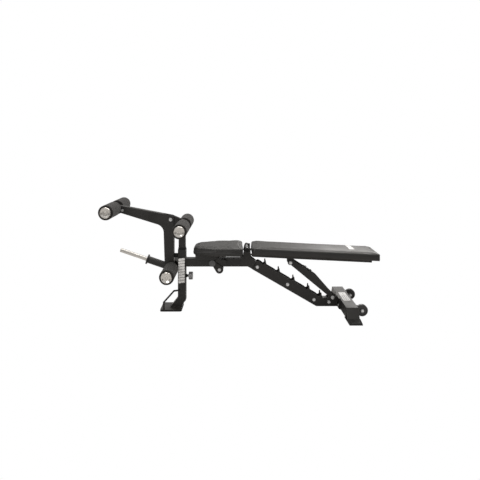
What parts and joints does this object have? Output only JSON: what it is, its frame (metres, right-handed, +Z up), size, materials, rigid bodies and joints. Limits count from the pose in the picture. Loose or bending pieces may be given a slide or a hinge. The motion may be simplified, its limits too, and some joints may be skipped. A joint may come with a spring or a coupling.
{
  "type": "adjustable weight bench",
  "caption": "Adjustable weight bench with tilting seat, strut-held folding backrest, hooked ladder, and a height-adjustable leg lever with foam rollers and a weight horn.",
  "frame": {"origin": "centre of the underside of the front foot, on the floor", "axes": "+X along the bench towards the rear wheels, +Y to the left seen from the front foot, +Z up"},
  "size_m": [1.8746, 0.704, 0.7475],
  "materials": {
    "frame_steel": "satin",
    "black_rubber": "matte",
    "zinc": "satin",
    "chrome": "polished",
    "pad_vinyl": "satin",
    "board_wood": "matte",
    "roller_foam": "matte",
    "wheel_plastic": "gloss",
    "grip_plastic": "matte",
    "knob_steel": "satin"
  },
  "bodies": {
    "frame": {"front_foot_pad": "black_rubber", "front_foot_plate": "frame_steel", "front_post": "frame_steel", "front_handle_rod": "frame_steel", "lock_barrel": "black_rubber", "main_beam": "frame_steel", "hinge_plates": "frame_steel", "hinge_axle": "zinc", "axle_caps": "black_rubber", "spine_tube": "frame_steel", "ladder_plate_left": "frame_steel", "ladder_plate_right": "frame_steel", "frame_bolts": "zinc", "rear_flange": "frame_steel", "rear_crossbar": "frame_steel", "rear_foot_left": "black_rubber", "rear_foot_right": "black_rubber", "wheel_brackets": "frame_steel", "wheel_bolts": "zinc", "seat_strut_lugs": "frame_steel"},
    "seat": {"seat_frame": "frame_steel", "seat_board": "board_wood", "seat_pad": "pad_vinyl", "seat_notch_plates": "frame_steel"},
    "seat_strut": {"seat_strut_arms": "frame_steel", "seat_strut_bolt": "zinc", "seat_strut_grips": "grip_plastic"},
    "backrest": {"back_rails": "frame_steel", "back_straps": "frame_steel", "back_board": "board_wood", "back_pad": "pad_vinyl", "back_strut_bracket": "frame_steel", "back_strut_bolt": "zinc"},
    "back_strut": {"back_strut": "frame_steel", "strut_foot_rod": "zinc", "strut_bumper": "black_rubber", "strut_bumper_bolts": "zinc"},
    "leg_post": {"inner_post": "frame_steel", "lever_bracket": "frame_steel", "lever_pivot_bolt": "zinc", "knee_roller_bar": "zinc", "knee_roller_caps": "chrome"},
    "leg_lever": {"leg_lever": "frame_steel", "lever_stop": "black_rubber", "horn_sleeve": "frame_steel", "horn_collar": "frame_steel", "horn_bar": "chrome", "curl_roller_bar": "zinc", "ankle_roller_bar": "zinc", "lever_roller_caps": "chrome", "lever_end_bolts": "zinc"},
    "knee_roller_left": {"knee_roller_left": "roller_foam"},
    "knee_roller_right": {"knee_roller_right": "roller_foam"},
    "curl_roller_left": {"curl_roller_left": "roller_foam"},
    "curl_roller_right": {"curl_roller_right": "roller_foam"},
    "ankle_roller_left": {"ankle_roller_left": "roller_foam"},
    "ankle_roller_right": {"ankle_roller_right": "roller_foam"},
    "lock_pin": {"lock_knob": "knob_steel"},
    "wheel_left": {"wheel_left": "wheel_plastic"},
    "wheel_right": {"wheel_right": "wheel_plastic"}
  },
  "joints": [
    {"name": "backrest_tilt", "type": "hinge", "parent": "frame", "child": "backrest", "pos_m": [0.521, 0, 0.422], "axis": [0, -1, 0], "range_deg": [0, 65]},
    {"name": "back_strut_swing", "type": "hinge", "parent": "backrest", "child": "back_strut", "pos_m": [0.823, 0, 0.323], "axis": [0, -1, 0], "range_deg": [-107.25, 0]},
    {"name": "seat_tilt", "type": "hinge", "parent": "frame", "child": "seat", "pos_m": [0.521, 0, 0.422], "axis": [0, 1, 0], "range_deg": [0, 14]},
    {"name": "seat_strut_swing", "type": "hinge", "parent": "frame", "child": "seat_strut", "pos_m": [0.331, 0, 0.274], "axis": [0, 1, 0], "range_deg": [0, 42]},
    {"name": "leg_post_height", "type": "slide", "parent": "frame", "child": "leg_post", "axis": [0, 0, 1], "range_m": [0, 0.12]},
    {"name": "leg_lever_swing", "type": "hinge", "parent": "leg_post", "child": "leg_lever", "pos_m": [-0.008, 0, 0.62], "axis": [0, 1, 0], "range_deg": [0, 95]},
    {"name": "lock_pin_pull", "type": "slide", "parent": "frame", "child": "lock_pin", "axis": [1, 0, 0], "range_m": [0, 0.012], "stiffness_N_per_m": 600},
    {"name": "knee_roller_left_spin", "type": "hinge", "parent": "leg_post", "child": "knee_roller_left", "pos_m": [0.08, 0.15, 0.575], "axis": [0, 1, 0], "continuous": true},
    {"name": "knee_roller_right_spin", "type": "hinge", "parent": "leg_post", "child": "knee_roller_right", "pos_m": [0.08, -0.15, 0.575], "axis": [0, 1, 0], "continuous": true},
    {"name": "curl_roller_left_spin", "type": "hinge", "parent": "leg_lever", "child": "curl_roller_left", "pos_m": [-0.397, 0.15, 0.698], "axis": [0, 1, 0], "continuous": true},
    {"name": "curl_roller_right_spin", "type": "hinge", "parent": "leg_lever", "child": "curl_roller_right", "pos_m": [-0.397, -0.15, 0.698], "axis": [0, 1, 0], "continuous": true},
    {"name": "ankle_roller_left_spin", "type": "hinge", "parent": "leg_lever", "child": "ankle_roller_left", "pos_m": [-0.003, 0.15, 0.279], "axis": [0, 1, 0], "continuous": true},
    {"name": "ankle_roller_right_spin", "type": "hinge", "parent": "leg_lever", "child": "ankle_roller_right", "pos_m": [-0.003, -0.15, 0.279], "axis": [0, 1, 0], "continuous": true},
    {"name": "wheel_left_spin", "type": "hinge", "parent": "frame", "child": "wheel_left", "pos_m": [1.282, 0.18, 0.041], "axis": [0, 1, 0], "continuous": true},
    {"name": "wheel_right_spin", "type": "hinge", "parent": "frame", "child": "wheel_right", "pos_m": [1.282, -0.18, 0.041], "axis": [0, 1, 0], "continuous": true}
  ],
  "couplings": [
    {"joint": "back_strut_swing", "follows": "backrest_tilt", "ratio": -1.65},
    {"joint": "seat_strut_swing", "follows": "seat_tilt", "ratio": 3}
  ]
}
